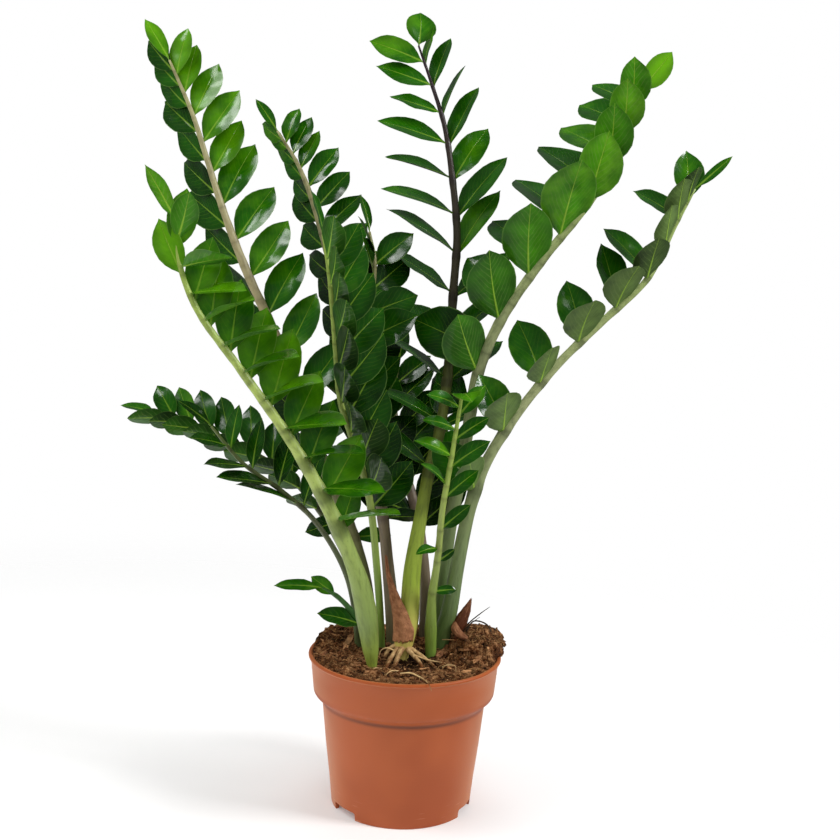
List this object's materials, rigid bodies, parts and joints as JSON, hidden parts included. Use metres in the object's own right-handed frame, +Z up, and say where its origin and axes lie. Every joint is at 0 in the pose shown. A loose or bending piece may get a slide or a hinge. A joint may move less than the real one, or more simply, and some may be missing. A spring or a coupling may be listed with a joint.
{
  "type": "potted plant",
  "caption": "Clump of arching glossy-leaved ZZ plant stems growing from potting mix in a round terracotta-coloured plastic nursery pot.",
  "frame": {"origin": "centre of the flat disc in the pot's foot, on the surface the pot stands on", "axes": "+Z up along the pot's axis, -Y towards the viewer of the plant's front, +X to that viewer's right"},
  "size_m": [0.6514, 0.3381, 0.8615],
  "materials": {
    "terracotta_plastic": "satin, moulded",
    "potting_mix": "rough, fibrous, damp",
    "leaf": "waxy and glossy, fleshy green stems",
    "dry_husk": "dry, papery, matte"
  },
  "bodies": {
    "root": {"pot": "terracotta_plastic", "potting_mix": "potting_mix", "stem_front_left": "leaf", "stem_front_right": "leaf", "stem_right_tall": "leaf", "stem_centre_tall": "leaf", "stem_front_small": "leaf", "stem_back_left_tall": "leaf", "stem_centre_left": "leaf", "stem_low_left": "leaf", "stem_lowest_left": "leaf", "stem_low_left_back": "leaf", "stem_centre_dark": "leaf", "stem_back_left_short": "leaf", "stem_back_centre": "leaf", "husk_centre": "dry_husk", "husk_right": "dry_husk"}
  },
  "joints": []
}
